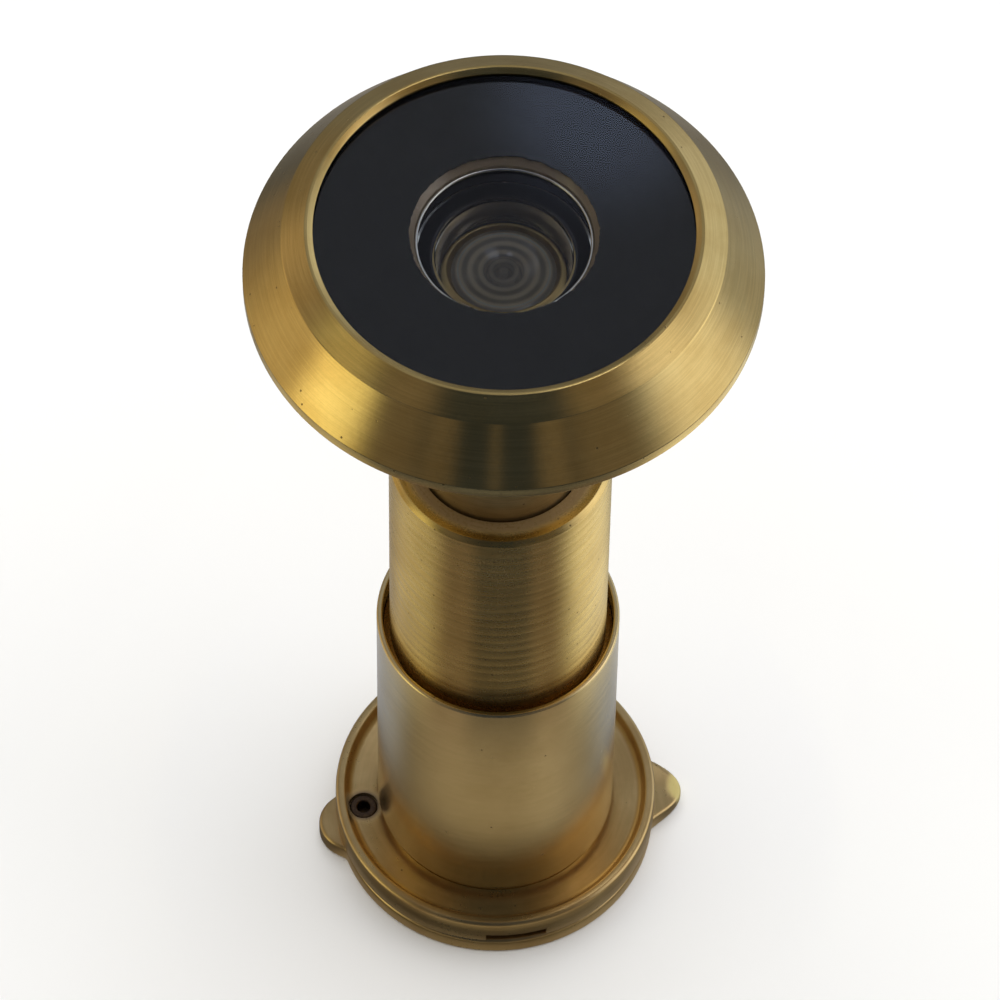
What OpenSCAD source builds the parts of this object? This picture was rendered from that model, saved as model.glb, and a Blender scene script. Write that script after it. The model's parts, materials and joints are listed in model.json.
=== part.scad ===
// Wide-angle door viewer with a swinging privacy cover.
// The viewing axis is Z and the outside head is at the top. The part stands on its cover,
// with the thumb tab of the cover towards +X and the pivot rivet towards -X.

/* [Door] */
// Door thickness at the setting shown, from the flange rim to the head rim
door_gap = 60.5; // [47.2:0.1:61.5]

/* [Head] */
// Outer radius of the conical head at its rim
head_r = 15.7; // [15.4:0.1:17]
// Height of the head from the rim face to the crest of the lip
head_h = 5.35; // [5.2:0.05:6]
// Height of the plain band round the rim
rim_edge_h = 0.85; // [0.6:0.05:1.2]
// Width of the flat ring that bears on the door
rim_land_w = 1.3; // [1:0.1:1.6]
// Radius of the shoulder between the steep cone and the shallow one
shoulder_r = 13.35; // [12.9:0.05:13.8]
// Drop from the crest of the lip to the shoulder
shoulder_drop = 0.95; // [0.7:0.05:1.2]
// Radius of the crest of the lip
crest_r = 11.85; // [11.7:0.05:12.2]
// Radius of the opening inside the lip
lip_r = 11.43; // [11:0.01:11.5]
// Depth of the hollow under the head
hollow_depth = 2; // [1:0.1:2.2]
// Outer radius of the threaded hub under the head
hub_r = 6.5; // [6.2:0.1:7.2]
// Length of the hub below the rim face
hub_drop = 3; // [1:0.1:6]

/* [Front glass and lens] */
// Radius of the cover glass
glass_r = 11.8; // [11.7:0.05:12]
// Thickness of the cover glass
glass_t = 0.5; // [0.4:0.05:0.6]
// Thickness of the black mask behind the glass
mask_t = 0.12; // [0.1:0.01:0.15]
// Radius of the clear aperture in the mask
mask_hole_r = 5.68; // [5.5:0.01:5.9]
// Radius of the front lens
front_lens_r = 5.36; // [5.3:0.01:5.37]
// Thickness of the front lens at its edge
front_lens_t = 2.25; // [2:0.05:2.4]
// Radius of the hollow ground into the back of the front lens
front_dish_r = 4.2; // [4:0.05:4.25]
// Depth of that hollow
front_dish_depth = 1.8; // [1.2:0.1:1.9]
// Radius of the wire of the snap ring on the front lens
snap_wire_r = 0.1; // [0.08:0.01:0.15]
// Thickness of the seat gasket under the front lens
gasket_t = 0.4; // [0.3:0.05:0.45]

/* [Lens tube and barrel] */
// Outer radius of the lens tube
tube_r = 5.15; // [5.05:0.05:5.15]
// Radius of the bore of the lens tube
tube_bore_r = 4.3; // [4.25:0.05:4.35]
// Free length of the lens tube between the head rim and the barrel
neck_len = 19.1; // [18:0.1:20]
// Depth of the lens tube inside the barrel
tube_in_barrel = 7; // [5:0.1:8]
// Outer radius of the barrel
barrel_r = 7; // [6.9:0.01:7.03]
// Length of the barrel
barrel_len = 25.7; // [24.5:0.1:25.9]
// Pitch of the turned rings on the outside of the barrel
ring_pitch = 0.93; // [0.8:0.01:1.1]
// Depth of the turned rings
ring_depth = 0.03; // [0.02:0.01:0.08]
// Crest radius of the adjusting thread at the barrel's lower end
thread_r = 7.4; // [7.38:0.01:7.42]
// Pitch of the adjusting thread
thread_pitch = 0.75; // [0.75:0.25:1]
// Number of turns of the adjusting thread
thread_turns = 7; // [5:1:7]

/* [Inner lenses] */
// Thickness of the second lens
second_lens_t = 2.2; // [2:0.1:2.6]
// Length of the spacer between the second and third lenses
spacer_len = 2.6; // [2:0.1:6]
// Edge thickness of the third lens
third_lens_t = 1.6; // [1.4:0.1:2]
// Thickness of the slotted ring that holds the lens stack
stack_ring_t = 1.2; // [1:0.1:1.6]
// Radius of the hole in the light baffle
baffle_hole_r = 3.2; // [2.5:0.1:3.8]
// Thickness of the light baffle
baffle_t = 0.6; // [0.4:0.1:0.8]

/* [Rear sleeve and flange] */
// Outer radius of the sleeve, which fills the hole in the door
sleeve_r = 7.85; // [7.8:0.01:7.9]
// Radius of the turned-down foot of the sleeve, on which the flange is pressed
sleeve_foot_r = 7.6; // [7.5:0.01:7.68]
// Radius of the sleeve's bore, taken at the major diameter of its thread
sleeve_bore_r = 7.45; // [7.44:0.01:7.48]
// Height of the sleeve's mouth above the eye face of the flange
sleeve_len = 24.35; // [23.5:0.05:25]
// Radius of the flange
flange_r = 10.7; // [10.6:0.05:11]
// Thickness of the flange at its rim
flange_t = 2.2; // [2:0.05:2.5]
// Depth of the dish in the door face of the flange
dish_depth = 0.65; // [0.4:0.05:0.7]
// Width of the raised rim of the flange
flange_rim_w = 0.6; // [0.5:0.05:0.8]
// Width of the coin slot in the eye face
slot_w = 4.05; // [3:0.05:4.5]
// Depth of the coin slot
slot_depth = 0.8; // [0.5:0.05:0.9]

/* [Eyepiece] */
// Radius of the eyepiece lens
eye_lens_r = 6.5; // [6.3:0.05:6.5]
// Edge thickness of the eyepiece lens
eye_lens_t = 1.3; // [1:0.05:1.3]
// Height of the dome of the eyepiece lens
eye_dome_h = 1.1; // [0.8:0.05:1.2]
// Radius of the eyepiece aperture
eye_hole_r = 5.2; // [5:0.05:5.3]

/* [Privacy cover and rivet] */
// Radius of the privacy cover
cover_r = 10.6; // [10.4:0.05:10.7]
// Thickness of the privacy cover
cover_t = 1.4; // [1.2:0.05:1.6]
// Distance of the pivot rivet from the viewing axis
pivot_x = 8.9; // [8.85:0.01:8.95]
// Radius of the rounded end of the cover's pivot ear
ear_r = 2.2; // [2:0.05:2.4]
// Distance of the centre of that rounded end from the viewing axis
ear_x = 9.7; // [9.6:0.05:9.8]
// Distance of the tip of the thumb tab from the viewing axis
tab_tip_x = 12.65; // [12:0.05:13.5]
// Half width of the thumb tab at its root
tab_half_w = 2.5; // [2:0.1:3]
// Radius of the rounded tip of the thumb tab
tab_tip_r = 1.45; // [1:0.05:1.8]
// Thickness of the spring washer between the cover and the flange
washer_t = 0.25; // [0.2:0.01:0.3]
// Radius of the rivet's shank
rivet_r = 0.8; // [0.7:0.01:0.85]
// Radius of the rivet's head under the cover
rivet_head_r = 1.45; // [1.2:0.05:1.6]

/* [Hidden] */
$fn = 96;
eps = 0.01;
running = 0.05;              // radial clearance of the pieces that turn or slide

// Heights, upwards from the underside of the cover
flange_z = cover_t + washer_t;
rim_z = flange_z + flange_t;
dish_z = rim_z - dish_depth;
sleeve_top_z = flange_z + sleeve_len;
head_z = rim_z + door_gap;
crest_z = head_z + head_h;
lip_z = crest_z - 0.2;
glass_top_z = lip_z - 0.15;
glass_z = glass_top_z - glass_t;
mask_z = glass_z - mask_t;
shelf_z = head_z + 0.9;      // floor of the front lens chamber, level with the tube's end
gasket_top_z = shelf_z + gasket_t;
front_lens_top_z = gasket_top_z + front_lens_t;
barrel_top_z = head_z - neck_len;
barrel_z = barrel_top_z - barrel_len;
tube_z = barrel_top_z - tube_in_barrel;
tube_lip_z = shelf_z - 0.8;
second_lens_z = tube_lip_z - second_lens_t;
spacer_z = second_lens_z - spacer_len;
third_lens_z = spacer_z - third_lens_t;
stack_ring_z = third_lens_z - stack_ring_t;
baffle_z = tube_z - baffle_t;

// Radii that follow from the others
chamber_r = 5.4;             // bore that holds the front lens
lead_in = 0.5;               // chamfer at the mouth of that bore
tube_socket_r = tube_r + running;
tube_lip_r = 3.95;           // lip that stops the lens stack inside the tube
stack_r = tube_bore_r - running;
barrel_bore_r = 4.9;
spacer_wall = 0.7;
thread_len = thread_turns * thread_pitch;
eye_chamber_r = eye_lens_r + running;

// Heights of the eyepiece stack, upwards from the bottom of the coin slot
eye_ring_z = flange_z + slot_depth;
eye_ring_t = 0.6;
eye_lens_z = eye_ring_z + eye_ring_t;
eye_seat_z = eye_lens_z + eye_lens_t;
eye_seat_t = 0.3;
eye_shoulder_z = eye_seat_z + eye_seat_t;
eye_shoulder_t = 1;

// Heights of the rivet's two ends
rivet_head_top = 0.55;
pocket_z = dish_z - 0.35;
pocket_r = 0.98;

// Radius of the sphere whose cap has base radius r and height h
function cap_radius(r, h) = (r * r + h * h) / (2 * h);

// Plain ring from radius r0 to r1 and from height z0 to z1
module ring(r0, r1, z0, z1) {
    rotate_extrude() polygon([[r0, z0], [r1, z0], [r1, z1], [r0, z1]]);
}

// Solid disc with a small chamfer round both edges, as ground lenses have
module lens_blank(r, z0, z1, chamfer = 0.12) {
    rotate_extrude() polygon([[0, z0], [r - chamfer, z0], [r, z0 + chamfer],
                              [r, z1 - chamfer], [r - chamfer, z1], [0, z1]]);
}

// Spherical cap that rises by h from height z on base radius r
module dome(r, h, z) {
    ball = cap_radius(r, h);
    intersection() {
        translate([0, 0, z + h - ball]) sphere(r = ball);
        translate([0, 0, z - eps]) cylinder(r = r + 1, h = h + 1);
    }
}

// Turned brass head: flat door face, two cones, a lip over the glass and a threaded hub
module bezel() {
    color("goldenrod") rotate_extrude() polygon([
        [head_r - rim_land_w, head_z], [head_r - 0.1, head_z], [head_r, head_z + 0.1],
        [head_r, head_z + rim_edge_h], [shoulder_r, crest_z - shoulder_drop],
        [crest_r + 0.1, crest_z - 0.03], [crest_r, crest_z], [crest_r - 0.08, crest_z - 0.02],
        [lip_r, lip_z], [lip_r, glass_top_z], [glass_r + running, glass_top_z],
        [glass_r + running, mask_z], [chamber_r + lead_in, mask_z],
        [chamber_r, mask_z - lead_in], [chamber_r, shelf_z],
        [tube_socket_r, shelf_z], [tube_socket_r, head_z - hub_drop],
        [hub_r, head_z - hub_drop], [hub_r, head_z + hollow_depth],
        [head_r - rim_land_w, head_z + hollow_depth]]);
}

module cover_glass() {
    color([0.6, 0.7, 0.75, 0.3]) lens_blank(glass_r, glass_z, glass_top_z, 0.08);
}

// Opaque black ring behind the glass, with the clear aperture in its middle
module black_mask() {
    color([0.03, 0.03, 0.05]) ring(mask_hole_r, glass_r - 0.1, mask_z, glass_z);
}

// Open wire ring that springs into the chamber and holds the front lens down; gap towards -Y
module front_lens_ring() {
    snap_gap = 24;
    color("silver") translate([0, 0, front_lens_top_z + snap_wire_r])
        rotate([0, 0, 270 + snap_gap / 2]) rotate_extrude(angle = 360 - snap_gap)
            translate([chamber_r - snap_wire_r - 0.02, 0]) circle(r = snap_wire_r, $fn = 24);
}

// Plano-concave front lens with its hollow facing the inside
module front_lens() {
    ball = cap_radius(front_dish_r, front_dish_depth);
    color([0.8, 0.87, 0.87, 0.35]) difference() {
        lens_blank(front_lens_r, gasket_top_z, front_lens_top_z);
        translate([0, 0, gasket_top_z + front_dish_depth - ball]) sphere(r = ball);
    }
}

module lens_gasket() {
    color([0.08, 0.08, 0.08]) ring(tube_bore_r, front_lens_r, shelf_z, gasket_top_z);
}

// Neck tube: screwed into the hub above and into the barrel below, it holds the lens stack
module lens_tube() {
    color("darkgoldenrod") rotate_extrude() polygon([
        [tube_bore_r, tube_z], [tube_r - 0.2, tube_z], [tube_r, tube_z + 0.2],
        [tube_r, shelf_z], [tube_lip_r, shelf_z], [tube_lip_r, tube_lip_z],
        [tube_bore_r, tube_lip_z]]);
}

module second_lens() {
    dish_r = 3.4;
    dish_h = 0.9;
    ball = cap_radius(dish_r, dish_h);
    color([0.8, 0.87, 0.87, 0.35]) difference() {
        lens_blank(stack_r, second_lens_z, tube_lip_z);
        translate([0, 0, tube_lip_z - dish_h + ball]) sphere(r = ball);
    }
}

module lens_spacer() {
    color("goldenrod") ring(stack_r - spacer_wall, stack_r, spacer_z, second_lens_z);
}

// Plano-convex lens, domed towards the head
module third_lens() {
    dome_h = 1;
    color([0.8, 0.87, 0.87, 0.35]) union() {
        lens_blank(stack_r, third_lens_z, spacer_z);
        dome(stack_r - spacer_wall - 0.15, dome_h, spacer_z);
    }
}

// Threaded ring with two spanner notches, below the lens stack
module lens_retaining_ring() {
    notch_w = 0.9;
    color("goldenrod") difference() {
        ring(3.2, stack_r, stack_ring_z, third_lens_z);
        translate([-5, -notch_w / 2, stack_ring_z - 1]) cube([10, notch_w, 1.5]);
    }
}

module light_baffle() {
    color([0.08, 0.08, 0.08]) ring(baffle_hole_r, tube_r, baffle_z, tube_z);
}

// Barrel with shallow turned rings; its lower end carries the adjusting thread
module front_barrel() {
    crest = 0.25 * thread_pitch;
    thread_top_z = barrel_z + thread_len;
    rings_z = thread_top_z + 0.6;
    ring_count = floor((barrel_top_z - 1.2 - rings_z) / ring_pitch);
    thread = [for (i = [0 : thread_turns - 1]) let (z = barrel_z + i * thread_pitch)
        each [[barrel_r, z + (i == 0 ? 0 : 0.05)], [thread_r, z + crest],
              [thread_r, z + 2 * crest], [barrel_r, z + 3 * crest]]];
    rings = [for (i = [0 : ring_count - 1]) let (z = rings_z + i * ring_pitch)
        each [[barrel_r, z], [barrel_r, z + 0.6 * ring_pitch],
              [barrel_r - ring_depth, z + 0.8 * ring_pitch]]];
    top = [[barrel_r, barrel_top_z - 0.75], [barrel_r - 0.75, barrel_top_z],
           [tube_socket_r + 0.25, barrel_top_z], [tube_socket_r + 0.25, barrel_top_z - 0.8],
           [tube_socket_r, barrel_top_z - 0.8], [tube_socket_r, baffle_z],
           [barrel_bore_r, baffle_z], [barrel_bore_r, barrel_z]];
    color("darkgoldenrod") rotate_extrude() polygon(concat(thread, rings, top));
}

// Coin slot across the eye face, cut through the flange and the end of the sleeve
module coin_slot() {
    translate([-slot_w / 2, -flange_r - 1, flange_z - 1])
        cube([slot_w, 2 * flange_r + 2, slot_depth + 1]);
}

// Smooth sleeve that passes into the door; the barrel screws into its bore. Its foot runs
// up to the level of the flange's rim, which leaves a narrow relief groove above the dish
module rear_sleeve() {
    color("peru") difference() {
        rotate_extrude() polygon([
            [eye_chamber_r, flange_z], [sleeve_foot_r, flange_z], [sleeve_foot_r, rim_z],
            [sleeve_r, rim_z], [sleeve_r, sleeve_top_z - 0.15],
            [sleeve_r - 0.15, sleeve_top_z], [sleeve_bore_r + 0.1, sleeve_top_z],
            [sleeve_bore_r, sleeve_top_z - 0.1], [sleeve_bore_r, eye_shoulder_z + eye_shoulder_t],
            [eye_hole_r, eye_shoulder_z + eye_shoulder_t], [eye_hole_r, eye_shoulder_z],
            [eye_chamber_r, eye_shoulder_z]]);
        coin_slot();
    }
}

// Dished flange pressed on the eye end of the sleeve
module rear_flange() {
    rim_in_r = flange_r - flange_rim_w;
    color("sandybrown") difference() {
        rotate_extrude() polygon([
            [sleeve_foot_r, flange_z], [flange_r - 0.15, flange_z], [flange_r, flange_z + 0.15],
            [flange_r, rim_z - 0.15], [flange_r - 0.15, rim_z], [rim_in_r, rim_z],
            [rim_in_r - 0.15, rim_z - 0.3 * dish_depth], [rim_in_r - 0.4, dish_z],
            [sleeve_foot_r, dish_z]]);
        coin_slot();
        translate([-pivot_x, 0, flange_z - 1]) cylinder(r = rivet_r, h = flange_t + 2);
        translate([-pivot_x, 0, pocket_z]) cylinder(r = pocket_r, h = flange_t);
    }
}

module eyepiece_seat_ring() {
    color([0.08, 0.08, 0.08]) ring(eye_hole_r + 0.1, eye_lens_r, eye_seat_z, eye_shoulder_z);
}

// Plano-convex eyepiece, domed towards the inside
module eyepiece_lens() {
    color([0.8, 0.87, 0.87, 0.35]) union() {
        lens_blank(eye_lens_r, eye_lens_z, eye_seat_z);
        dome(eye_hole_r - 0.1, eye_dome_h, eye_seat_z);
    }
}

// Threaded ring that holds the eyepiece, with two spanner notches in line with the coin slot
module eyepiece_retaining_ring() {
    notch_w = 1.2;
    color("goldenrod") difference() {
        ring(eye_hole_r + 0.3, eye_lens_r, eye_ring_z, eye_lens_z);
        translate([-notch_w / 2, -8, eye_ring_z - 1]) cube([notch_w, 16, 1.3]);
    }
}

// Semi-tubular rivet: flush head under the cover, rolled end in the pocket of the flange
module pivot_rivet() {
    head_z0 = 0.05;
    end_r = pocket_r - 0.05;
    end_z = pocket_z + 0.22;
    color("dimgray") translate([-pivot_x, 0, 0]) difference() {
        rotate_extrude() polygon([
            [0, head_z0], [rivet_head_r - 0.1, head_z0], [rivet_head_r, head_z0 + 0.1],
            [rivet_head_r, rivet_head_top], [rivet_r, rivet_head_top], [rivet_r, pocket_z],
            [end_r, pocket_z], [end_r - 0.12, end_z], [0, end_z]]);
        translate([0, 0, pocket_z - 0.6]) cylinder(r = rivet_r / 2, h = 2);
    }
}

module spring_washer() {
    color("lightgray") translate([-pivot_x, 0, 0])
        ring(rivet_r + running, 1.8, cover_t, flange_z);
}

// Round cover with a pivot ear at one side and a thumb tab at the other
module privacy_cover() {
    edge = 0.25;
    tip_x = tab_tip_x - tab_tip_r;
    module rounded_disc(r) {
        rotate_extrude() polygon([[0, 0], [r - edge, 0], [r, edge], [r, cover_t - edge],
                                  [r - edge, cover_t], [0, cover_t]]);
    }
    color("darkkhaki") difference() {
        union() {
            rounded_disc(cover_r);
            translate([-ear_x, 0, 0]) rounded_disc(ear_r);
            linear_extrude(cover_t) union() {
                polygon([[cover_r - 1, -tab_half_w], [tip_x, -tab_tip_r],
                         [tip_x, tab_tip_r], [cover_r - 1, tab_half_w]]);
                translate([tip_x, 0]) circle(r = tab_tip_r);
            }
        }
        translate([-pivot_x, 0, -1]) cylinder(r = rivet_r + running, h = cover_t + 2);
        translate([-pivot_x, 0, -1]) cylinder(r = rivet_head_r + running, h = 1 + rivet_head_top + running);
    }
}

bezel();
cover_glass();
black_mask();
front_lens_ring();
front_lens();
lens_gasket();
lens_tube();
second_lens();
lens_spacer();
third_lens();
lens_retaining_ring();
light_baffle();
front_barrel();
rear_sleeve();
rear_flange();
eyepiece_seat_ring();
eyepiece_lens();
eyepiece_retaining_ring();
pivot_rivet();
spring_washer();
privacy_cover();
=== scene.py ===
"""Looks of a door viewer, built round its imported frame.

Lengths of the pieces are in millimetres, as turned on a lathe: r is the distance from the viewing
axis and z the height. MM turns them into Blender's metres when a mesh is made.
"""
import json
import math

import bmesh
import bpy
from mathutils import Matrix, Vector, noise

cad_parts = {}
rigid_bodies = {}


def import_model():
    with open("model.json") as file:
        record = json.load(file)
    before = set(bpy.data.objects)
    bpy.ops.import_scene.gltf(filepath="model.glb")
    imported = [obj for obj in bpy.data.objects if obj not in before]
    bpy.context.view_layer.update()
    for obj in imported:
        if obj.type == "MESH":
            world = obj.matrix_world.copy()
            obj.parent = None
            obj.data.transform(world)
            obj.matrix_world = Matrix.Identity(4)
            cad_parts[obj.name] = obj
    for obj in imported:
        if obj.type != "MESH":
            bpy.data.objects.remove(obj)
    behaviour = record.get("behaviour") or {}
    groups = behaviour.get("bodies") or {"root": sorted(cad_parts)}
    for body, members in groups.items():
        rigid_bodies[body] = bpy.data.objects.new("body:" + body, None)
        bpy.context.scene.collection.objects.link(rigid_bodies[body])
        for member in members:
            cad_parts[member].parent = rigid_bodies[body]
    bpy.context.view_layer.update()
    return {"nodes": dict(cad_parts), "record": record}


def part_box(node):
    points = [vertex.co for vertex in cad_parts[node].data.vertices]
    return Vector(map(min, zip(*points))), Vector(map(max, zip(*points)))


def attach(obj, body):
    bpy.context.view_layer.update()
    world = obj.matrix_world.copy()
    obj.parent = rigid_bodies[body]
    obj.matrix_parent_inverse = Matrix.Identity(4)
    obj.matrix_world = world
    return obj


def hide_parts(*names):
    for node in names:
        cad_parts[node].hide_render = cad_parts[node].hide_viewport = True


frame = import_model()

MM = 0.001
SEGMENTS = 256          # round the axis, on the outer pieces
FINE = 96               # round the axis, on the small or hidden ones
FILLET_STEPS = 4
CAMERA_AZIMUTH = math.radians(-8.5)
CAMERA_ELEVATION = 57.5                  # in degrees, as direction() takes it
CAMERA_ROLL = math.radians(0.95)


# ---------------------------------------------------------------- sizes from the frame

def low_z(name):
    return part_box(name)[0].z / MM


def high_z(name):
    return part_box(name)[1].z / MM


def outer_r(name):
    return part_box(name)[1].y / MM


# ---------------------------------------------------------------- outlines

def rounded(corners, steps=FILLET_STEPS):
    """Points of a closed outline. A corner is (r, z) or (r, z, fillet radius)."""
    points = []
    for i, corner in enumerate(corners):
        here = Vector(corner[:2])
        if len(corner) < 3:
            points.append(here)
            continue
        before = Vector(corners[i - 1][:2]) - here
        after = Vector(corners[(i + 1) % len(corners)][:2]) - here
        half = before.angle(after) / 2
        reach = min(corner[2] / math.tan(half), 0.48 * before.length, 0.48 * after.length)
        before.normalize()
        after.normalize()
        fillet = reach * math.tan(half)
        centre = here + (before + after).normalized() * (fillet / math.sin(half))
        start = here + before * reach - centre
        sweep = start.angle_signed(here + after * reach - centre)
        for k in range(steps + 1):
            turn = Matrix.Rotation(-sweep * k / steps, 2)
            points.append(centre + turn @ start)
    return points


def cap(edge_r, edge_z, rise, steps=16):
    """Points of a spherical cap's section, from its edge to the axis. A negative rise is a hollow."""
    ball = (edge_r ** 2 + rise ** 2) / (2 * abs(rise))
    side = math.copysign(1, rise)
    reach = math.asin(edge_r / ball)
    return [
        Vector((ball * math.sin(reach * k / steps),
                edge_z + rise - side * ball * (1 - math.cos(reach * k / steps))))
        for k in range(steps, -1, -1)
    ]


# ---------------------------------------------------------------- meshes

def finish_mesh(name, bm, sharp=40):
    """Object from a bmesh, shaded smooth between sharp edges, with flat faces kept flat."""
    bmesh.ops.recalc_face_normals(bm, faces=bm.faces)
    mesh = bpy.data.meshes.new(name)
    bm.to_mesh(mesh)
    bm.free()
    piece = bpy.data.objects.new(name, mesh)
    bpy.context.scene.collection.objects.link(piece)
    shade(piece, sharp)
    return piece


def shade(piece, sharp=40):
    mesh = piece.data
    mesh.polygons.foreach_set("use_smooth", [True] * len(mesh.polygons))
    mesh.set_sharp_from_angle(angle=math.radians(sharp))
    weighted = piece.modifiers.new("weighted_normals", "WEIGHTED_NORMAL")
    weighted.keep_sharp = True


def lathe(name, outline, segments=SEGMENTS, centre_x=0.0, wobble=None):
    """Solid of revolution of a closed outline of (r, z) points."""
    bm = bmesh.new()
    rings = []
    for r, z in outline:
        count = 1 if r < 1e-6 else segments
        ring = []
        for k in range(count):
            angle = 2 * math.pi * k / count
            radius = r + (wobble(r, angle) if wobble else 0)
            ring.append(bm.verts.new((
                (centre_x + radius * math.cos(angle)) * MM, radius * math.sin(angle) * MM, z * MM)))
        rings.append(ring)
    for a, b in zip(rings, rings[1:] + rings[:1]):
        if len(a) == 1 and len(b) == 1:
            continue
        for k in range(segments):
            following = (k + 1) % segments
            corners = [a[k % len(a)], a[following % len(a)], b[following % len(b)], b[k % len(b)]]
            bm.faces.new(list(dict.fromkeys(corners)))
    return finish_mesh(name, bm)


def box_tool(x, y, z):
    """Cutter that fills the given spans."""
    bm = bmesh.new()
    bmesh.ops.create_cube(bm, size=1)
    for v in bm.verts:
        v.co = Vector([(span[0] + span[1]) / 2 + (span[1] - span[0]) * c
                       for span, c in zip((x, y, z), v.co)]) * MM
    return finish_mesh("cutter", bm)


def pin_tool(r, x, z0, z1):
    """Round cutter on an upright axis."""
    return lathe("cutter", [(0, z0), (r, z0), (r, z1), (0, z1)], FINE, x)


def cut(piece, *tools):
    """Cuts the tools out of the piece for good and removes them."""
    piece.modifiers.clear()
    for tool in tools:
        tool.modifiers.clear()
        cutter = piece.modifiers.new("cut", "BOOLEAN")
        cutter.object = tool
        cutter.solver = "MANIFOLD"
    bpy.context.view_layer.update()
    solid = piece.evaluated_get(bpy.context.evaluated_depsgraph_get())
    mesh = bpy.data.meshes.new_from_object(solid)
    piece.modifiers.clear()
    piece.data = mesh
    for tool in tools:
        bpy.data.objects.remove(tool)
    shade(piece, 30)


# ---------------------------------------------------------------- nodes

def node(tree, kind, sockets=(), **settings):
    """Adds a shader node. A socket's value may be another node's output."""
    made = tree.nodes.new("ShaderNode" + kind)
    for key, value in settings.items():
        setattr(made, key, value)
    for key, value in dict(sockets).items():
        if isinstance(value, bpy.types.NodeSocket):
            tree.links.new(value, made.inputs[key])
        else:
            made.inputs[key].default_value = value
    return made


def calc(tree, operation, *values):
    return node(tree, "Math", enumerate(values), operation=operation).outputs[0]


def vector_calc(tree, operation, *values, result=0):
    return node(tree, "VectorMath", enumerate(values), operation=operation).outputs[result]


def mixed(tree, factor, a, b, blend="MIX"):
    """Colour a changed into, or blended with, colour b."""
    made = node(tree, "Mix", {0: factor, 6: a, 7: b}, data_type="RGBA", blend_type=blend)
    return made.outputs[2]


def ramp(tree, value, low, high, to_low=0.0, to_high=1.0):
    """Value from low to high, carried smoothly to the new range."""
    made = node(tree, "MapRange", {0: value, 1: low, 2: high, 3: to_low, 4: to_high},
                interpolation_type="SMOOTHSTEP")
    return made.outputs[0]


def cloud(tree, vector, scale, detail=3.0, rough=0.55):
    made = node(tree, "TexNoise", {"Vector": vector, "Scale": scale, "Detail": detail,
                                   "Roughness": rough})
    return made.outputs[0]


def new_material(name):
    material = bpy.data.materials.new(name)
    material.use_nodes = True
    return material, material.node_tree, material.node_tree.nodes["Principled BSDF"]


def set_shader(shader, **values):
    for key, value in values.items():
        shader.inputs[key.replace("_", " ")].default_value = value


def turned_lines(tree, position, pitch, spread):
    """Noise drawn out round the axis, as a tool or a brush leaves it. Pitch is in millimetres."""
    flat = vector_calc(tree, "MULTIPLY", position, (1, 1, 0))
    radius = vector_calc(tree, "LENGTH", flat, result=1)
    height = node(tree, "SeparateXYZ", {0: position}).outputs[2]
    along = calc(tree, "DIVIDE", calc(tree, "SUBTRACT", radius, height), pitch * MM)
    around = vector_calc(tree, "SCALE", vector_calc(tree, "NORMALIZE", flat))
    around.node.inputs["Scale"].default_value = spread
    upright = node(tree, "CombineXYZ", {2: along}).outputs[0]
    return cloud(tree, vector_calc(tree, "ADD", around, upright), 1.0, 2.0, 0.65)


def pits(tree, position, spacing, size, share):
    """Small round spots, 1 inside and 0 outside: a share of the cells of that spacing has one."""
    cells = node(tree, "TexVoronoi", {"Vector": position, "Scale": 1 / (spacing * MM)})
    inside = ramp(tree, cells.outputs["Distance"], size, size * 0.5)
    chosen = node(tree, "SeparateColor", {0: cells.outputs["Color"]}).outputs[0]
    return calc(tree, "MULTIPLY", inside, calc(tree, "LESS_THAN", chosen, share))


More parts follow.
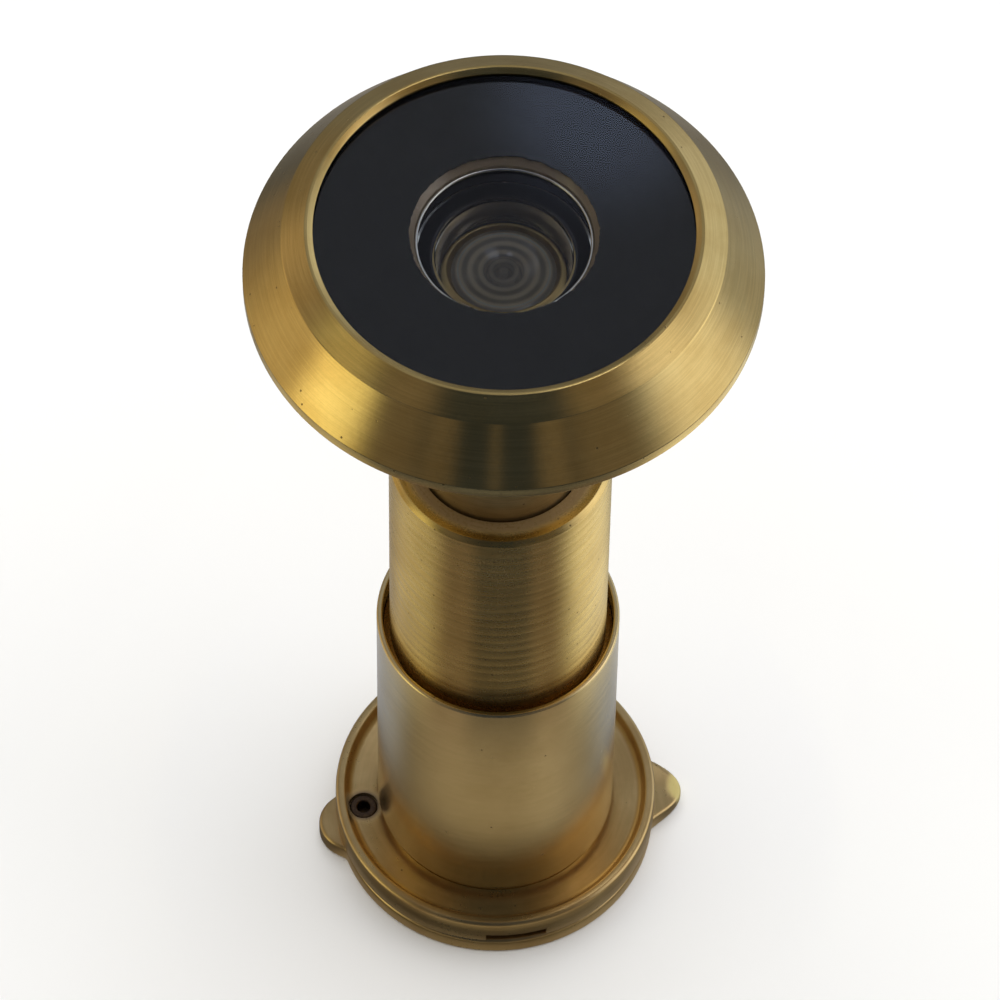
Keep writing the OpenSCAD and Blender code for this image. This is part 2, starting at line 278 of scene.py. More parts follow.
def brass(name, colour, patina, roughness, anisotropy, pitch=0.14, spread=2.5, lines=0.16,
          patches=0.5, bump=0.004, speck=0.2, rough_range=0.12, metallic=1.0, films_and_painted_shade=()):
    """Bare brass with tool lines round the axis, patches of patina and small dark pits.

    Each entry of the last argument is a place, a reach in millimetres round it and the colour laid
    there: a dull film, which is painted shade where its colour is dark, in a hollow or under another
    part.
    """
    material, tree, shader = new_material(name)
    position = node(tree, "TexCoord").outputs["Object"]
    line = turned_lines(tree, position, pitch, spread)
    broad = turned_lines(tree, position, pitch * 9, spread * 0.8)
    stain = cloud(tree, position, 1 / (5 * MM), 4.0, 0.6)
    grain = cloud(tree, position, 1 / (0.25 * MM), 2.0)
    spot = pits(tree, position, 0.7, 0.13, speck)

    tarnish = calc(tree, "MULTIPLY", ramp(tree, stain, 0.35, 0.7), patches)
    tint = mixed(tree, tarnish, (*colour, 1), (*patina, 1))
    shadow = tuple(c * (1 - lines) for c in (1, 1, 0.96)) + (1,)
    tint = mixed(tree, ramp(tree, line, 0.3, 0.7), mixed(tree, 1.0, tint, shadow, "MULTIPLY"), tint)
    tint = mixed(tree, ramp(tree, broad, 0.7, 0.3, 0.0, lines), tint, (*patina, 1))
    tint = mixed(tree, calc(tree, "MULTIPLY", spot, 0.6), tint, (0.14, 0.09, 0.05, 1))
    # Laid colours take the metal away: pale dull films, and dark ones that are painted shade in
    # hollows and under the head.
    for centre, reach, film_and_shade_colour in films_and_painted_shade:
        away = vector_calc(tree, "DISTANCE", position, Vector(centre) * MM, result=1)
        edge = calc(tree, "MULTIPLY_ADD", stain, 0.5 * MM, away)
        cover = ramp(tree, edge, (reach + 0.45) * MM, (reach - 0.15) * MM, 0.0, 0.9)
        tint = mixed(tree, cover, tint, (*film_and_shade_colour, 1))
        metallic = calc(tree, "MULTIPLY", metallic, calc(tree, "SUBTRACT", 1.0, cover))

    rough = calc(tree, "ADD", roughness - rough_range / 2,
                 calc(tree, "MULTIPLY", calc(tree, "ADD", calc(tree, "ADD", grain, stain), line),
                      rough_range / 1.5))
    rough = calc(tree, "ADD", rough, calc(tree, "MULTIPLY", spot, 0.25))
    height = calc(tree, "SUBTRACT", calc(tree, "ADD", line, calc(tree, "MULTIPLY", grain, 0.4)),
                  calc(tree, "MULTIPLY", spot, 2.0))
    relief = node(tree, "Bump", {"Height": height, "Strength": 0.6, "Distance": bump * MM})

    tree.links.new(tint, shader.inputs["Base Color"])
    tree.links.new(rough, shader.inputs["Roughness"])
    tree.links.new(relief.outputs[0], shader.inputs["Normal"])
    if films_and_painted_shade:
        tree.links.new(metallic, shader.inputs["Metallic"])
    else:
        set_shader(shader, Metallic=metallic)
    set_shader(shader, Anisotropic=anisotropy, Anisotropic_Rotation=0.25)
    if anisotropy:
        tangent = node(tree, "Tangent", direction_type="RADIAL", axis="Z")
        tree.links.new(tangent.outputs[0], shader.inputs["Tangent"])
    return material


def glass(name, tint, roughness, ior=1.5, mirrored=(1.0, 1.0, 1.0), dust_and_painted_rings=None):
    """Polished optical glass with a trace of handling marks. A coating may weaken what it mirrors.

    Dust is a height in millimetres, how much of it lies on the lenses below that, and its colour. It
    lies thicker towards the rim, in even concentric rings that are painted ring reflections of the
    lens stack.
    """
    material, tree, shader = new_material(name)
    position = node(tree, "TexCoord").outputs["Object"]
    smear = cloud(tree, position, 1 / (3 * MM), 5.0, 0.7)
    tree.links.new(ramp(tree, smear, 0.62, 0.75, roughness, roughness + 0.04),
                   shader.inputs["Roughness"])
    colour = mixed(tree, ramp(tree, smear, 0.4, 0.8), (*tint, 1), (*[c * 0.97 for c in tint], 1))
    set_shader(shader, Transmission_Weight=1.0, IOR=ior, Specular_Tint=(*mirrored, 1))
    if dust_and_painted_rings:
        top, amount, grey = dust_and_painted_rings
        below = calc(tree, "LESS_THAN", node(tree, "SeparateXYZ", {0: position}).outputs[2], top * MM)
        radius = vector_calc(tree, "LENGTH", vector_calc(tree, "MULTIPLY", position, (1, 1, 0)),
                             result=1)
        # painted reflection: even concentric rings in the dust, standing in for the ring reflections
        # inside the lens stack
        rings = calc(tree, "SINE", calc(tree, "MULTIPLY", radius, 2 * math.pi / (0.8 * MM)))
        share = calc(tree, "MULTIPLY", ramp(tree, radius, 0.5 * MM, 3.2 * MM, 0.4 * amount, amount),
                     ramp(tree, rings, -1.0, 1.0, 0.5, 1.2))
        share = calc(tree, "MULTIPLY", share, below)
        tree.links.new(calc(tree, "SUBTRACT", 1.0, share), shader.inputs["Transmission Weight"])
        colour = mixed(tree, below, colour, (*grey, 1))
    tree.links.new(colour, shader.inputs["Base Color"])
    return material


def dull(name, colour, lift, roughness, grain_size, bump, metallic=0.0, gloss=0.5):
    """Paint, rubber, moulded plastic or plain steel: a base colour that a fine grain lifts."""
    material, tree, shader = new_material(name)
    position = node(tree, "TexCoord").outputs["Object"]
    grain = cloud(tree, position, 1 / (grain_size * MM), 4.0, 0.6)
    drift = cloud(tree, position, 1 / (4 * MM), 2.0)
    tint = mixed(tree, calc(tree, "MULTIPLY", ramp(tree, grain, 0.35, 0.75),
                            ramp(tree, drift, 0.3, 0.7, 0.3, 1.0)), (*colour, 1), (*lift, 1))
    tree.links.new(tint, shader.inputs["Base Color"])
    tree.links.new(ramp(tree, grain, 0.3, 0.7, roughness * 0.85, min(1, roughness * 1.15)),
                   shader.inputs["Roughness"])
    relief = node(tree, "Bump", {"Height": grain, "Strength": 0.5, "Distance": bump * MM})
    tree.links.new(relief.outputs[0], shader.inputs["Normal"])
    set_shader(shader, Metallic=metallic, Specular_IOR_Level=gloss)
    return material


MATERIALS = {
    "turned_brass": brass("turned_brass", (0.78, 0.58, 0.24), (0.60, 0.40, 0.13), 0.16, 0.8,
                          speck=0.25, films_and_painted_shade=[((0, 0, 68.7), 6.3, (0.52, 0.42, 0.33))]),
    "neck_brass": brass("neck_brass", (0.62, 0.46, 0.22), (0.42, 0.29, 0.12), 0.30, 0.5,
                        metallic=0.9),
    "ringed_brass": brass("ringed_brass", (0.80, 0.59, 0.24), (0.62, 0.42, 0.14), 0.22, 0.8,
                          pitch=0.2, lines=0.2,
                          # painted shade: a dark brown dull film on the barrel's top end face round
                          # its mouth, where the head shades it
                          films_and_painted_shade=[((0, 0, high_z("front_barrel")), 6.25, (0.30, 0.20, 0.10))]),
    "smooth_brass": brass("smooth_brass", (0.84, 0.66, 0.36), (0.70, 0.52, 0.25), 0.17, 0.3,
                         pitch=0.3, lines=0.06, bump=0.0003, speck=0.06),
    "bored_brass": brass("bored_brass", (0.92, 0.74, 0.42), (0.78, 0.58, 0.30), 0.60, 0.0,
                         pitch=0.3, lines=0.2, metallic=0.2),
    "pressed_brass": brass("pressed_brass", (0.70, 0.515, 0.255), (0.53, 0.355, 0.155), 0.24, 0.2,
                           pitch=0.35, lines=0.10, patches=0.7, speck=0.12,
                           # painted shade: a near-black film in the rivet's sunk seat in the flange
                           # dish; the second film is dull yellow, on the cover's thumb tab
                           metallic=0.98, films_and_painted_shade=[((-8.9, 0, 3.2), 1.3, (0.05, 0.03, 0.02)),
                                                 ((13.3, 0, 1.2), 1.6, (0.50, 0.42, 0.15))]),
    "dark_rivet": dull("dark_rivet", (0.09, 0.06, 0.045), (0.20, 0.14, 0.09), 0.45, 0.2, 0.01, 1.0),
    "spring_wire": dull("spring_wire", (0.72, 0.72, 0.70), (0.86, 0.86, 0.85), 0.10, 0.1, 0.0, 1.0),
    "clear_glass": glass("clear_glass", (0.97, 0.98, 0.99), 0.0, 1.45, (0.12, 0.12, 0.14)),
    "lens_glass": glass("lens_glass", (0.97, 0.99, 0.98), 0.0, 1.45, (0.5, 0.5, 0.6),
                        # dust on the lenses below the front lens, laid in rings that are painted
                        # reflections
                        dust_and_painted_rings=(high_z("second_lens") + 0.1, 0.8, (0.98, 0.87, 0.72))),
    "black_coating": dull("black_coating", (0.006, 0.007, 0.011), (0.010, 0.011, 0.016), 0.04,
                          0.3, 0.0, gloss=0.55),
    "black_rubber": dull("black_rubber", (0.012, 0.012, 0.012), (0.03, 0.03, 0.03), 0.7, 0.15, 0.01),
    "black_plastic": dull("black_plastic", (0.02, 0.018, 0.016), (0.05, 0.045, 0.04), 0.5, 0.2, 0.005),
}
GROUND_GLASS = dull("ground_glass", (0.80, 0.80, 0.76), (0.90, 0.90, 0.88), 0.7, 0.1, 0.002)
BODY_OF = {node_name: body for body, names in frame["record"]["behaviour"]["bodies"].items()
           for node_name in names}
SLOT_OF = {part["node"]: part["material_slot"] for part in frame["record"]["subparts"]}


def fit(piece, node_name):
    """Puts a detailed piece in a CAD node's place, with that node's body and finish."""
    slot = SLOT_OF[node_name]
    piece.data.materials.clear()
    piece.data.materials.append(MATERIALS[slot])
    if "ground" in piece:
        inner_r, z0, z1 = [length * MM for length in piece["ground"]]
        piece.data.materials.append(GROUND_GLASS)
        for face in piece.data.polygons:
            middle = face.center
            if middle.xy.length > inner_r and z0 < middle.z < z1:
                face.material_index = 1
    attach(piece, BODY_OF[node_name])
    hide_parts(node_name)
    return piece


# ---------------------------------------------------------------- head

CREST = high_z("bezel")
HEAD_R = outer_r("bezel")
HUB_Z = low_z("bezel")
RIM_Z = CREST - 5.35            # face that bears on the door
SHELF_Z = low_z("lens_gasket")
MASK_Z = low_z("black_mask")
GLASS_Z = low_z("cover_glass")
GLASS_TOP = high_z("cover_glass")
TUBE_R = outer_r("lens_tube")
TUBE_BORE_R = 4.3
CLEAR_R = 3.4                   # polished middle of the second and third lens


def bezel():
    """Turned head: flat door face, steep cone, shallow cone and a thin lip over the glass."""
    land_r = HEAD_R - 1.3           # the flat face ends here, and the hollow round the hub begins
    hollow_z = RIM_Z + 2
    rim_top = RIM_Z + 0.85
    hub_r = 6.5
    hub_bore = TUBE_R + 0.05
    ledge_r = outer_r("cover_glass") + 0.05
    chamber_r = 5.4
    lead_in = 0.5
    lip_r = 11.43
    crest_r = 11.85
    shoulder_r, shoulder_z = 13.35, CREST - 0.95
    return lathe("bezel_detail", rounded([
        (land_r, RIM_Z, 0.1), (HEAD_R, RIM_Z, 0.12), (HEAD_R, rim_top, 0.14),
        (shoulder_r, shoulder_z, 0.35), (crest_r + 0.1, CREST - 0.03, 0.05),
        (crest_r, CREST), (crest_r - 0.08, CREST - 0.02, 0.04), (lip_r, GLASS_TOP + 0.15, 0.04),
        (lip_r, GLASS_TOP), (ledge_r, GLASS_TOP), (ledge_r, MASK_Z),
        (chamber_r + lead_in, MASK_Z, 0.04), (chamber_r, MASK_Z - lead_in, 0.06),
        (chamber_r, SHELF_Z), (hub_bore, SHELF_Z), (hub_bore, HUB_Z, 0.15),
        (hub_r, HUB_Z, 0.2), (hub_r, hollow_z, 0.3), (land_r, hollow_z, 0.4)]))


def glass_edge(r, z0, z1, bevel=0.12):
    """Bevelled corners round the edge of a glass, from its lower face to its upper one."""
    return [(r - bevel, z0), (r, z0 + bevel), (r, z1 - bevel), (r - bevel, z1)]


def cover_glass():
    edge = glass_edge(outer_r("cover_glass"), GLASS_Z, GLASS_TOP, 0.08)
    return lathe("cover_glass_detail", [(0, GLASS_Z)] + edge + [(0, GLASS_TOP)])


def black_mask():
    """Coating behind the glass. Its inner edge is ragged, where it was brushed up to the opening."""
    hole_r = 5.68
    r = outer_r("black_mask")
    gap = 0.002             # keeps the coating off the glass and the ledge
    low, high = MASK_Z + gap, GLASS_Z - gap

    def ragged(at_r, angle):
        if at_r > hole_r + 0.1:
            return 0
        place = Vector((math.cos(angle), math.sin(angle), 0))
        return 0.07 * noise.noise(place * 9) + 0.06 * noise.noise(place * 30)

    return lathe("black_mask_detail", [(hole_r, low), (r, low), (r, high), (hole_r, high)],
                 720, wobble=ragged)


def front_lens_ring():
    """Open snap ring of round wire, with its gap towards the front."""
    wire_r = (high_z("front_lens_ring") - low_z("front_lens_ring")) / 2
    ring_r = outer_r("front_lens_ring") - wire_r
    height = low_z("front_lens_ring") + wire_r
    half_gap = math.radians(12)
    start = math.radians(-90) + half_gap
    sweep = 2 * math.pi - 2 * half_gap
    steps = 200
    sides = 16
    bm = bmesh.new()
    loops = []
    for k in range(steps + 1):
        a = start + sweep * k / steps
        loops.append([bm.verts.new(Vector((
            (ring_r + wire_r * math.cos(b)) * math.cos(a),
            (ring_r + wire_r * math.cos(b)) * math.sin(a),
            height + wire_r * math.sin(b))) * MM)
            for b in (2 * math.pi * j / sides for j in range(sides))])
    for one, other in zip(loops, loops[1:]):
        for j in range(sides):
            bm.faces.new((one[j], one[j - 1], other[j - 1], other[j]))
    bm.faces.new(loops[0])
    bm.faces.new(loops[-1])
    return finish_mesh("front_lens_ring_detail", bm)


def grind(piece, inner_r, z0, z1):
    """Gives the faces of a lens outside a radius, between two heights, a ground finish."""
    piece["ground"] = [inner_r, z0, z1]
    return piece


def front_lens():
    """Plano-concave lens, hollow below."""
    z0, z1 = low_z("front_lens"), high_z("front_lens")
    hollow = cap(4.2, z0, 1.8, 32)[::-1]
    return lathe("front_lens_detail", hollow + glass_edge(outer_r("front_lens"), z0, z1) + [(0, z1)])


def lens_gasket():
    r = outer_r("lens_gasket")
    z0, z1 = low_z("lens_gasket"), high_z("lens_gasket")
    return lathe("lens_gasket_detail", rounded([
        (TUBE_BORE_R, z0, 0.1), (r, z0, 0.1), (r, z1, 0.1), (TUBE_BORE_R, z1, 0.15)]))


def lens_tube():
    """Neck tube. A lip at its upper end holds the lens stack."""
    z0, z1 = low_z("lens_tube"), high_z("lens_tube")
    lip_r = 3.95
    under_lip = z1 - 0.8
    return lathe("lens_tube_detail", rounded([
        (TUBE_BORE_R, z0), (TUBE_R, z0, 0.2), (TUBE_R, z1), (lip_r, z1, 0.12), (lip_r, under_lip),
        (TUBE_BORE_R, under_lip)]))


def second_lens():
    """Lens with a hollow above."""
    z0, z1 = low_z("second_lens"), high_z("second_lens")
    rim = [(0, z0)] + glass_edge(outer_r("second_lens"), z0, z1) + [(CLEAR_R + 0.12, z1)]
    piece = lathe("second_lens_detail", rim + cap(CLEAR_R, z1 - 0.06, -0.84, 24))
    return grind(piece, CLEAR_R + 0.01, z1 - 0.1, z1)


def third_lens():
    """Lens domed above."""
    z0, z1 = low_z("third_lens"), low_z("lens_spacer")
    rim = [(0, z0)] + glass_edge(outer_r("third_lens"), z0, z1) + [(CLEAR_R + 0.08, z1)]
    piece = lathe("third_lens_detail", rim + cap(CLEAR_R, z1 + 0.04, 0.96, 24))
    return grind(piece, CLEAR_R + 0.01, z1 - 0.1, z1 + 0.1)


def lens_spacer():
    r = outer_r("lens_spacer")
    bore_r = r - 0.7
    z0, z1 = low_z("lens_spacer"), high_z("lens_spacer")
    return lathe("lens_spacer_detail", rounded([
        (bore_r, z0, 0.08), (r, z0, 0.08), (r, z1, 0.08), (bore_r, z1, 0.08)]), FINE)


# ---------------------------------------------------------------- barrel

def front_barrel():
    """Barrel with shallow turned rings above, and the adjusting thread on its lower end."""
    z0, z1 = low_z("front_barrel"), high_z("front_barrel")
    r = 7.0
    ring_pitch = 0.93
    groove = 0.012
    chamfer = 0.3
    thread_r = outer_r("front_barrel")
    thread_pitch = 0.75
    turns = 7
    relief = 0.6            # plain stretch between the thread and the rings
    outlet_r = 4.9
    tube_bore_r = 5.2
    mouth_r = 5.3
    mouth_depth = 0.8
    baffle_seat = high_z("light_baffle") - 0.6
    outline = [(outlet_r, z0), (r, z0)]
    for i in range(turns):
        z = z0 + i * thread_pitch
        outline += [(r, z + 0.05), (thread_r, z + 0.25 * thread_pitch),
                    (thread_r, z + 0.5 * thread_pitch), (r, z + 0.75 * thread_pitch)]
    z = z0 + turns * thread_pitch + relief
    while z < z1 - chamfer - ring_pitch:
        outline += [(r, z), (r, z + 0.58 * ring_pitch), (r - 0.7 * groove, z + 0.68 * ring_pitch),
                    (r - groove, z + 0.78 * ring_pitch), (r - 0.7 * groove, z + 0.88 * ring_pitch)]
        z += ring_pitch
    top = rounded([(r, z), (r, z1 - chamfer, 0.1), (r - chamfer, z1, 0.1), (mouth_r, z1, 0.04),
                   (mouth_r, z1 - mouth_depth), (tube_bore_r, z1 - mouth_depth),
                   (tube_bore_r, baffle_seat), (outlet_r, baffle_seat)])
    return lathe("front_barrel_detail", outline + top)


# ---------------------------------------------------------------- sleeve, flange and eyepiece

FLANGE_Z = low_z("rear_flange")
FLANGE_TOP = high_z("rear_flange")
SLEEVE_R = outer_r("rear_sleeve")
FOOT_R = 7.6
SLOT_HALF = 2.025
SLOT_DEPTH = low_z("eyepiece_retaining_ring") - FLANGE_Z
PIVOT_X = -8.9
PIVOT_HOLE_R = 0.85     # in the cover and the washer


def coin_slot():
    return box_tool((-SLOT_HALF, SLOT_HALF), (-12, 12), (FLANGE_Z - 1, FLANGE_Z + SLOT_DEPTH))


def rear_sleeve():
    mouth = high_z("rear_sleeve")
    shoulder = high_z("eyepiece_seat_ring")
    stop = shoulder + 1
    bore = 7.45
    chamber = 6.55
    window = 5.2
    piece = lathe("rear_sleeve_detail", rounded([
        (chamber, FLANGE_Z, 0.05), (FOOT_R, FLANGE_Z), (FOOT_R, FLANGE_TOP),
        (SLEEVE_R, FLANGE_TOP, 0.05), (SLEEVE_R, mouth, 0.18), (bore, mouth, 0.12),
        (bore, stop, 0.1), (window, stop, 0.1), (window, shoulder), (chamber, shoulder)]))
    cut(piece, coin_slot())
    return piece


def rear_flange():
    r = outer_r("rear_flange")
    dish_z = FLANGE_TOP - 0.65
    rim_in = r - 0.6
    piece = lathe("rear_flange_detail", rounded([
        (FOOT_R, FLANGE_Z), (r, FLANGE_Z, 0.2), (r, FLANGE_TOP, 0.3), (rim_in, FLANGE_TOP, 0.15),
        (rim_in - 0.35, dish_z, 0.5), (FOOT_R, dish_z, 0.05)]))
    rivet_hole = pin_tool(0.8, PIVOT_X, FLANGE_Z - 1, FLANGE_TOP + 1)
    sunk_seat = pin_tool(0.98, PIVOT_X, dish_z - 0.35, FLANGE_TOP + 1)
    cut(piece, coin_slot(), rivet_hole, sunk_seat)
    return piece


def pivot_rivet():
    """Semi-tubular rivet with a low domed head below and a rolled end above."""
    low, high = low_z("pivot_rivet"), high_z("pivot_rivet")
    head_r, head_top = 1.45, 0.55
    shank_r = 0.8
    roll_z = high - 0.22
    hollow_z = roll_z - 0.6
    return lathe("pivot_rivet_detail", rounded([
        (0, low), (1.0, low), (head_r, low + 0.15, 0.1), (head_r, head_top, 0.05),
        (shank_r, head_top), (shank_r, roll_z), (0.93, roll_z, 0.02), (0.9, high, 0.12),
        (0.42, high, 0.12), (0.4, hollow_z), (0, hollow_z)]),
        FINE, PIVOT_X)


def spring_washer():
    r = 1.8
    z0, z1 = low_z("spring_washer"), high_z("spring_washer")
    return lathe("spring_washer_detail", rounded([
        (PIVOT_HOLE_R, z0, 0.03), (r, z0, 0.05), (r, z1, 0.05), (PIVOT_HOLE_R, z1, 0.03)]),
        FINE, PIVOT_X)


def eyepiece_lens():
    """Lens domed above."""
    r = outer_r("eyepiece_lens")
    z0, z1 = low_z("eyepiece_lens"), low_z("eyepiece_seat_ring")
    return lathe("eyepiece_lens_detail", [(0, z0)] + glass_edge(r, z0, z1) + cap(5.1, z1, 1.1, 24))


# ---------------------------------------------------------------- cover

COVER_R = outer_r("privacy_cover")
TAB_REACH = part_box("privacy_cover")[1].x / MM - COVER_R


def cover_reach(angle):
    """Distance of the cover's edge from the axis: the disc, the round pivot ear and the thumb tab."""
    disc = COVER_R
    tab_half = math.radians(14.5)
    ear_x = -9.7
    ear_r = 2.2
    blend = 0.5
    off_tab = abs(math.remainder(angle, 2 * math.pi)) / tab_half
    off_ear = math.remainder(angle - math.pi, 2 * math.pi)
    if off_tab < 1:
        return disc + TAB_REACH * math.cos(off_tab * math.pi / 2) ** 1.3
    miss = abs(ear_x) * math.sin(off_ear)
    if abs(miss) > ear_r or abs(off_ear) > 1:
        return disc
    ear = abs(ear_x) * math.cos(off_ear) + math.sqrt(ear_r ** 2 - miss ** 2)
    near = max(blend - abs(ear - disc), 0) / blend
    return max(ear, disc) + near ** 2 * blend / 4


def privacy_cover():
    """Thin round cover with soft edges. Its thumb tab slopes off towards the tip."""
    thick = high_z("privacy_cover")
    count = 480
    edge_steps = 6
    soft = 0.3              # radius of its rounded edges
    tip_drop = 0.35
    fractions = (0.5, 0.9)
    bm = bmesh.new()

    def ring(inset, z, slope):
        made = []
        for k in range(count):
            angle = 2 * math.pi * k / count
            reach = cover_reach(angle)
            on_tab = max(reach - COVER_R, 0) / TAB_REACH if math.cos(angle) > 0 else 0
            r = reach - inset * (1 + 0.8 * on_tab)
            drop = slope * tip_drop * on_tab ** 1.5
            made.append(bm.verts.new((r * math.cos(angle) * MM, r * math.sin(angle) * MM,
                                      (z - drop) * MM)))
        return made

    def plate(z):
        hub = [bm.verts.new((0, 0, z * MM))] * count
        return [hub] + [[bm.verts.new((COVER_R * f * math.cos(2 * math.pi * k / count) * MM,
                                       COVER_R * f * math.sin(2 * math.pi * k / count) * MM, z * MM))
                         for k in range(count)] for f in fractions]

    rings = plate(thick)
    for k in range(edge_steps + 1):
        a = math.pi / 2 * k / edge_steps
        rings.append(ring(soft * (1 - math.sin(a)), thick - soft * (1 - math.cos(a)), 1))
    for k in range(edge_steps + 1):
        a = math.pi / 2 * k / edge_steps
        rings.append(ring(soft * (1 - math.cos(a)), soft * (1 - math.sin(a)), 0))
    rings += plate(0)[::-1]
    for one, other in zip(rings, rings[1:]):
        for k in range(count):
            corners = (one[k - 1], one[k], other[k], other[k - 1])
            bm.faces.new(list(dict.fromkeys(corners)))
    piece = finish_mesh("privacy_cover_detail", bm)
    rivet_hole = pin_tool(PIVOT_HOLE_R, PIVOT_X, -1, thick + 1)
    head_recess = pin_tool(1.5, PIVOT_X, -1, 0.6)
    cut(piece, rivet_hole, head_recess)
    return piece


# ---------------------------------------------------------------- put together

for maker in (bezel, cover_glass, black_mask, front_lens_ring, front_lens, lens_gasket, lens_tube,
              second_lens, third_lens, lens_spacer, front_barrel, rear_sleeve, rear_flange,
              pivot_rivet, spring_washer, eyepiece_lens, privacy_cover):
    fit(maker(), maker.__name__)

for kept in ("lens_retaining_ring", "light_baffle", "eyepiece_seat_ring", "eyepiece_retaining_ring"):
    holder = frame["nodes"][kept]
    finish = MATERIALS[SLOT_OF[kept]]
    if holder.material_slots:
        for material_slot in holder.material_slots:
            material_slot.material = finish
    else:
        holder.data.materials.append(finish)

for shown in bpy.context.scene.objects:
    if shown.type == "MESH" and any(m and m.name.endswith("glass") for m in shown.data.materials):
        shown.visible_shadow = False    # light reaches the lens stack through the glass


# ---------------------------------------------------------------- studio

def direction(azimuth, elevation):
    """Unit vector towards a place in the studio. Azimuth 0 is the camera's side and 90 its right."""
    a = CAMERA_AZIMUTH + math.radians(azimuth)
    e = math.radians(elevation)
    return Vector((math.sin(a) * math.cos(e), -math.cos(a) * math.cos(e), math.sin(e)))


WARM = (1.0, 0.76, 0.46)
GOLD = (0.86, 0.79, 0.44)
AMBER = (0.96, 0.77, 0.44)
STRAW = (1.0, 0.95, 0.55)
NEUTRAL = (1.0, 1.0, 1.0)
COOL = (0.92, 0.98, 1.08)
SKY = (0.62, 0.78, 1.15)
DIM = (0.032, 0.040, 0.055)     # the rest of the room

# Soft boxes and dim walls that the metal mirrors: azimuth, elevation, half width across, half
# height, all in degrees, then brightness and colour. A half width of 0 makes a round spot.
SOFT_BOXES = (
    (180, 52, 0, 40, 0.28, NEUTRAL),
    (178.7, 54.2, 1.4, 0.9, 0.7, SKY),
    (-66, 3, 15, 21, 1.5, GOLD),
    (-40, 9, 13, 20, 0.13, WARM),
    (40, 9, 16, 20, 0.13, WARM),
    (150, 72, 0, 5, 3.0, NEUTRAL),
    (-95, -4, 28, 24, 0.62, AMBER),
    (-130, -21, 16, 14, 0.20, WARM),
    (-80, 41, 19, 10, 0.55, STRAW),
    (-134, 14, 24, 18, 0.16, WARM),
    (-112, 24, 22, 16, 0.27, WARM),
    (84, 9, 26, 28, 1.18, NEUTRAL),
    (79, 43, 18, 9, 0.75, NEUTRAL),
    (130, 18, 16, 9, 0.22, COOL),
    (156, 0, 16, 8, 0.34, COOL),
    (100, 26, 20, 14, 0.40, NEUTRAL),
    (128, 14, 27, 25, 0.57, COOL),
    (126, -22, 30, 20, 0.30, COOL),
    (180, -8, 44, 18, 0.18, NEUTRAL),
    (48, 51, 15, 15, 0.17, WARM),
    (-48, 51, 15, 15, 0.17, WARM),
    (95, 57, 30, 18, 0.34, WARM),
    (-95, 57, 30, 18, 0.20, WARM),
    (92, -57, 40, 16, 0.9, NEUTRAL),
    (-85, -57, 30, 16, 0.5, NEUTRAL),
    (180, -60, 70, 24, 0.35, NEUTRAL),
    (-22, 9, 6, 14, 0.13, WARM),
    (-2, 9, 2.5, 12, 0.09, WARM),
    (19, 9, 6, 14, 0.14, WARM),
)

TABLE_R = 60
TABLE_DARK = (0.02, 0.02, 0.02)

# Pale and dark areas of the table that only the metal mirrors: azimuth and half width in degrees,
# nearest and furthest distance from the axis in millimetres, brightness and colour.
TABLE_PATCHES = (
    (0, 75, 13.5, 23, (0.30, 0.26, 0.185)),
    (0, 130, 0, 11.5, (0.20, 0.17, 0.12)),
    (55, 30, 0, 23, (0.09, 0.09, 0.08)),
    (120, 38, 14, 23, (0.26, 0.30, 0.38)),
    (-118, 38, 14, 23, (0.27, 0.31, 0.40)),
    (110, 50, 0, 14, (0.12, 0.11, 0.10)),
    (-110, 50, 0, 14, (0.09, 0.08, 0.07)),
    (180, 50, 0, 23, (0.30, 0.32, 0.36)),
    (0, 40, 23, 46, (0.022, 0.018, 0.020)),
    (-42, 20, 23, 46, (0.19, 0.14, 0.095)),
    (47, 18, 23, 46, (0.16, 0.115, 0.075)),
    (0, 60, 51, 60, (0.34, 0.36, 0.40)),
    (99, 36, 23, 60, (1.15, 1.12, 0.86)),
    (-85, 29, 23, 60, (0.60, 0.55, 0.36)),
    (-130, 30, 23, 60, (0.32, 0.30, 0.26)),
    (180, 40, 23, 60, (0.40, 0.46, 0.56)),
)


def side_azimuth(tree, x, y):
    """Azimuth of a place from its x and y, with 0 on the camera's side."""
    around = calc(tree, "ARCTAN2", x, calc(tree, "MULTIPLY", y, -1.0))
    return calc(tree, "SUBTRACT", around, CAMERA_AZIMUTH)


def off_middle(tree, azimuth, middle, half_width):
    """How far an azimuth lies from a middle one, in half widths."""
    turn = calc(tree, "WRAP", calc(tree, "SUBTRACT", azimuth, math.radians(middle)),
                math.pi, -math.pi)
    return calc(tree, "DIVIDE", turn, math.radians(half_width))


def falling(tree, spread):
    """1 where the spread is 0, and near 0 where it is over 1.5."""
    return calc(tree, "EXPONENT", calc(tree, "MULTIPLY", spread, -1.0))


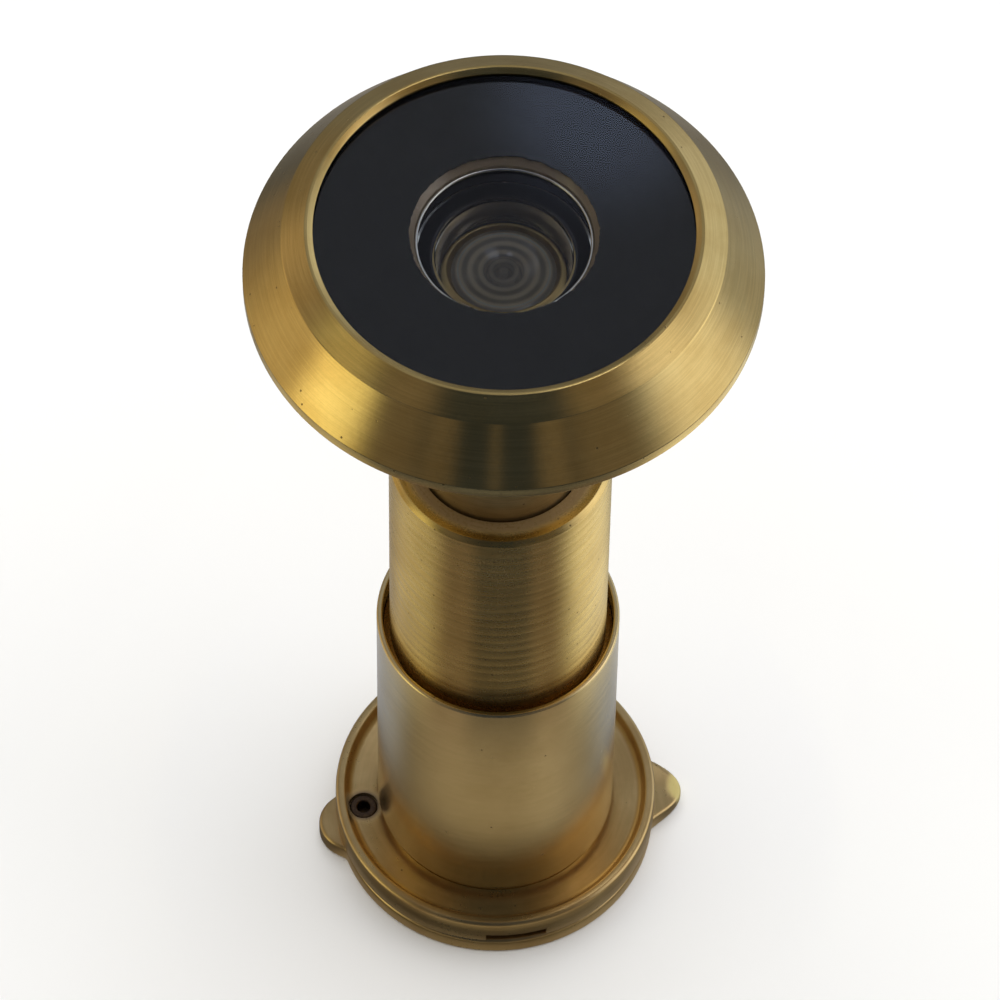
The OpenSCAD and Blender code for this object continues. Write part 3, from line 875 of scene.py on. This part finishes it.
def studio_light():
    """World that shows a plain pale backdrop to the camera and the soft boxes to the metal."""
    world = bpy.data.worlds.new("studio_light")
    bpy.context.scene.world = world
    world.use_nodes = True
    tree = world.node_tree
    tree.nodes.clear()
    way = node(tree, "TexCoord").outputs["Generated"]
    x, y, z = node(tree, "SeparateXYZ", {0: way}).outputs
    azimuth = side_azimuth(tree, x, y)
    elevation = calc(tree, "ARCSINE", z)
    total = node(tree, "CombineXYZ", enumerate(DIM)).outputs[0]
    for az, el, half_az, half_el, power, colour in SOFT_BOXES:
        if half_az:
            across = off_middle(tree, azimuth, az, half_az)
            rise = calc(tree, "DIVIDE", calc(tree, "SUBTRACT", elevation, math.radians(el)),
                        math.radians(half_el))
            spread = calc(tree, "ADD", calc(tree, "MULTIPLY", across, across),
                          calc(tree, "MULTIPLY", rise, rise))
        else:
            facing = vector_calc(tree, "DOT_PRODUCT", way, direction(az, el), result=1)
            off = calc(tree, "DIVIDE", calc(tree, "ARCCOSINE", facing), math.radians(half_el))
            spread = calc(tree, "MULTIPLY", off, off)
        weight = falling(tree, calc(tree, "MULTIPLY", spread, spread))
        glow = tuple(power * c for c in colour)
        total = vector_calc(tree, "MULTIPLY_ADD", weight, glow, total)
    boxes = node(tree, "Background", {0: total, 1: 1.0}).outputs[0]
    plain = node(tree, "Background", {0: (0.93, 0.93, 0.93, 1), 1: 1.0}).outputs[0]
    seen = node(tree, "LightPath").outputs["Is Camera Ray"]
    shown = node(tree, "MixShader", {0: seen, 1: boxes, 2: plain}).outputs[0]
    node(tree, "OutputWorld", {0: shown})


def floor():
    """Large pale studio floor under the part. The metal mirrors the card and soft boxes instead."""
    bm = bmesh.new()
    bmesh.ops.create_grid(bm, x_segments=1, y_segments=1, size=4)
    piece = finish_mesh("floor", bm)
    piece.location.z = -0.00002
    piece.modifiers.clear()
    material, tree, shader = new_material("pale_floor")
    position = node(tree, "TexCoord").outputs["Object"]
    drift = cloud(tree, position, 8.0)
    tree.links.new(mixed(tree, drift, (0.86, 0.86, 0.855, 1), (0.88, 0.88, 0.875, 1)),
                   shader.inputs["Base Color"])
    set_shader(shader, Roughness=0.9)
    piece.data.materials.append(material)
    piece.visible_glossy = False


def table_glow():
    """Unseen card just above the floor, which gives the metal a table of varied brightness."""
    bm = bmesh.new()
    bmesh.ops.create_circle(bm, cap_ends=True, segments=FINE, radius=TABLE_R * MM)
    piece = finish_mesh("table_glow", bm)
    piece.location.z = -0.00001
    piece.modifiers.clear()
    material = bpy.data.materials.new("table_glow")
    material.use_nodes = True
    tree = material.node_tree
    tree.nodes.clear()
    place = node(tree, "TexCoord").outputs["Object"]
    x, y, _ = node(tree, "SeparateXYZ", {0: place}).outputs
    azimuth = side_azimuth(tree, x, y)
    radius = calc(tree, "DIVIDE", vector_calc(tree, "LENGTH", place, result=1), MM)
    total = node(tree, "CombineXYZ", enumerate(TABLE_DARK)).outputs[0]
    for az, half_az, near, far, colour in TABLE_PATCHES:
        across = calc(tree, "ABSOLUTE", off_middle(tree, azimuth, az, half_az))
        weight = falling(tree, calc(tree, "POWER", across, 4.0))
        if near:
            weight = calc(tree, "MULTIPLY", weight, ramp(tree, radius, near * 0.94, near * 1.06))
        weight = calc(tree, "MULTIPLY", weight, ramp(tree, radius, far * 1.06, far * 0.94))
        total = vector_calc(tree, "MULTIPLY_ADD", weight, colour, total)
    glow = node(tree, "Emission", {0: total, 1: 1.0}).outputs[0]
    node(tree, "OutputMaterial", {0: glow})
    piece.data.materials.append(material)
    piece.visible_camera = False
    piece.visible_diffuse = False
    piece.visible_transmission = False
    piece.visible_shadow = False


def overhead_light():
    """Wide lamp above that lights the floor and the dull pieces, and leaves no glare on the metal."""
    lamp = bpy.data.lights.new("overhead", "AREA")
    lamp.shape = "DISK"
    lamp.size = 2.4
    lamp.energy = 29
    holder = bpy.data.objects.new("overhead", lamp)
    bpy.context.scene.collection.objects.link(holder)
    holder.location = (0.1, 0.25, 1.3)
    aim = -holder.location
    holder.rotation_mode = "QUATERNION"
    holder.rotation_quaternion = aim.to_track_quat("-Z", "Y")
    holder.visible_glossy = False
    holder.visible_transmission = False


def camera():
    """Long lens, looking down on the head from the front."""
    distance = 0.466
    aim = Vector((0, 0, 0.0395))
    back = direction(0, CAMERA_ELEVATION)
    roll = Matrix.Rotation(CAMERA_ROLL, 3, "Z").to_quaternion()
    data = bpy.data.cameras.new("camera")
    data.sensor_width = 36
    data.lens = 266.4
    data.clip_start = 0.01
    holder = bpy.data.objects.new("camera", data)
    bpy.context.scene.collection.objects.link(holder)
    holder.location = aim + back * distance
    holder.rotation_mode = "QUATERNION"
    holder.rotation_quaternion = (-back).to_track_quat("-Z", "Y") @ roll
    bpy.context.scene.camera = holder


floor()
table_glow()
studio_light()
overhead_light()
camera()
bpy.context.scene.view_settings.view_transform = "Standard"
